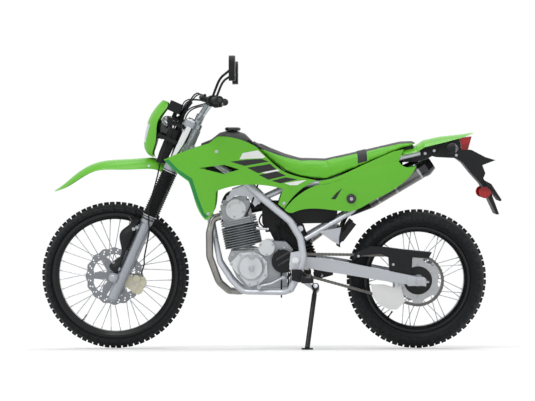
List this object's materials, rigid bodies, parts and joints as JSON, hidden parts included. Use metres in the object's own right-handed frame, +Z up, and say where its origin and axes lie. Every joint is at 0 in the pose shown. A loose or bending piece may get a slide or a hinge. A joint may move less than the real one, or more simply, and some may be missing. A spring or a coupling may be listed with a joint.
{
  "type": "dual sport motorcycle",
  "caption": "Dual sport motorcycle with a finned single-cylinder engine, spoked wheels, gaitered fork, high front fender and long seat, leaning on its side stand.",
  "frame": {"origin": "on the ground under the middle of the leaning motorcycle's bounding box", "axes": "+X towards the rear, +Y towards the rider's right, +Z up"},
  "size_m": [2.0745, 0.8349, 1.3488],
  "materials": {
    "tyre_rubber": "matt black tyre rubber",
    "black_metal": "satin black paint",
    "silver_metal": "silver paint",
    "steel": "bright steel",
    "aluminium": "cast aluminium",
    "green_plastic": "gloss lime green",
    "black_plastic": "matt black plastic",
    "black_rubber": "matt black rubber",
    "seat_cover": "black seat cover",
    "lens": "clear lens",
    "red_lens": "red lens"
  },
  "bodies": {
    "chassis": {"main_frame": "silver_metal", "subframe": "black_metal", "swingarm": "aluminium", "rear_axle": "steel", "rear_shock": "black_metal", "inner_fender": "black_plastic", "rear_caliper": "aluminium", "chain": "steel", "chain_guard": "black_plastic", "crankcase": "aluminium", "cylinder": "aluminium", "cylinder_head": "aluminium", "engine_covers": "aluminium", "sprocket_cover": "black_plastic", "exhaust_header": "steel", "muffler": "steel", "throttle_body": "black_metal", "airbox": "black_plastic", "shrouds": "green_plastic", "side_covers": "green_plastic", "fuel_tank": "black_metal", "fuel_cap": "black_plastic", "seat": "seat_cover", "tail_cover": "green_plastic", "rear_mudguard": "black_plastic", "tail_light": "red_lens", "rear_indicators": "black_plastic", "side_reflectors": "red_lens", "footpegs": "black_metal", "foot_controls": "black_metal"},
    "steering": {"fork_sliders": "silver_metal", "fork_tubes": "steel", "fork_gaiters": "black_rubber", "lower_clamp": "black_metal", "upper_clamp": "silver_metal", "fork_guards": "black_plastic", "front_axle": "steel", "front_caliper": "aluminium", "handlebar": "black_metal", "grips": "black_rubber", "hand_controls": "black_plastic", "mirrors": "black_plastic", "headlight_cowl": "green_plastic", "headlight": "lens", "meter": "black_plastic", "front_indicators": "black_plastic", "front_fender": "green_plastic", "control_cables": "black_rubber"},
    "front_wheel": {"front_tyre": "tyre_rubber", "front_rim": "black_metal", "front_spokes": "steel", "front_hub": "aluminium", "front_disc": "steel"},
    "rear_wheel": {"rear_tyre": "tyre_rubber", "rear_rim": "black_metal", "rear_spokes": "steel", "rear_hub": "aluminium", "rear_disc": "steel", "rear_sprocket": "steel"},
    "side_stand": {"side_stand_leg": "silver_metal"}
  },
  "joints": [
    {"name": "steering_turn", "type": "hinge", "parent": "chassis", "child": "steering", "pos_m": [-0.37502, 0.02627, 0.90468], "axis": [0.4067, -0.114, 0.9064], "range_deg": [-42, 42]},
    {"name": "front_wheel_spin", "type": "hinge", "parent": "steering", "child": "front_wheel", "pos_m": [-0.6983, 0.09832, 0.33184], "axis": [0, 0.9922, 0.1248], "continuous": true},
    {"name": "rear_wheel_spin", "type": "hinge", "parent": "chassis", "child": "rear_wheel", "pos_m": [0.6667, 0.10044, 0.31498], "axis": [0, 0.9922, 0.1248], "continuous": true},
    {"name": "side_stand_fold", "type": "hinge", "parent": "chassis", "child": "side_stand", "pos_m": [0.2053, -0.00744, 0.2752], "axis": [-0.0597, -0.9209, 0.3852], "range_deg": [0, 95]}
  ]
}
